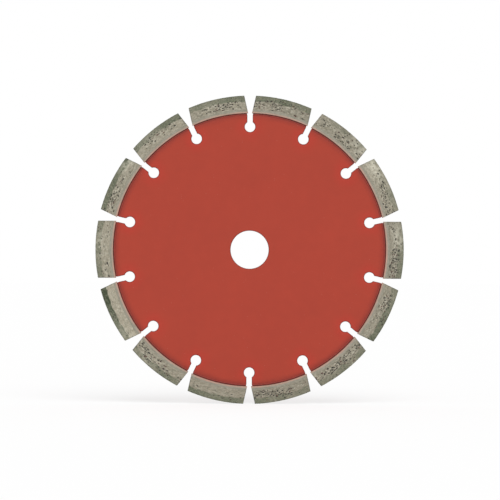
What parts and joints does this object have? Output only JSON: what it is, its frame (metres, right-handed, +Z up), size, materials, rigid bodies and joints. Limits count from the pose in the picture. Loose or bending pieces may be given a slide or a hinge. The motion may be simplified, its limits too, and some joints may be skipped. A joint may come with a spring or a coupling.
{
  "type": "diamond blade",
  "caption": "Round segmented diamond blade with a painted steel core, keyhole slots and welded sintered segments, for cutting masonry and concrete.",
  "frame": {"origin": "centre of the bore, halfway through the blade's thickness", "axes": "+Y along the spin axis, from the front face (-Y) to the back face; +Z up through one of the slots; +X to the right as the front face is seen"},
  "size_m": [0.18, 0.0024, 0.1798],
  "materials": {
    "core_paint": "satin",
    "painted_weld": "satin",
    "foot_bond": "matte",
    "diamond_bond": "matte"
  },
  "bodies": {
    "root": {"steel_core": "core_paint", "weld_seam_01": "painted_weld", "weld_seam_02": "painted_weld", "weld_seam_03": "painted_weld", "weld_seam_04": "painted_weld", "weld_seam_05": "painted_weld", "weld_seam_06": "painted_weld", "weld_seam_07": "painted_weld", "weld_seam_08": "painted_weld", "weld_seam_09": "painted_weld", "weld_seam_10": "painted_weld", "weld_seam_11": "painted_weld", "weld_seam_12": "painted_weld", "weld_seam_13": "painted_weld", "weld_seam_14": "painted_weld", "segment_foot_01": "foot_bond", "segment_foot_02": "foot_bond", "segment_foot_03": "foot_bond", "segment_foot_04": "foot_bond", "segment_foot_05": "foot_bond", "segment_foot_06": "foot_bond", "segment_foot_07": "foot_bond", "segment_foot_08": "foot_bond", "segment_foot_09": "foot_bond", "segment_foot_10": "foot_bond", "segment_foot_11": "foot_bond", "segment_foot_12": "foot_bond", "segment_foot_13": "foot_bond", "segment_foot_14": "foot_bond", "diamond_segment_01": "diamond_bond", "diamond_segment_02": "diamond_bond", "diamond_segment_03": "diamond_bond", "diamond_segment_04": "diamond_bond", "diamond_segment_05": "diamond_bond", "diamond_segment_06": "diamond_bond", "diamond_segment_07": "diamond_bond", "diamond_segment_08": "diamond_bond", "diamond_segment_09": "diamond_bond", "diamond_segment_10": "diamond_bond", "diamond_segment_11": "diamond_bond", "diamond_segment_12": "diamond_bond", "diamond_segment_13": "diamond_bond", "diamond_segment_14": "diamond_bond"}
  },
  "joints": []
}
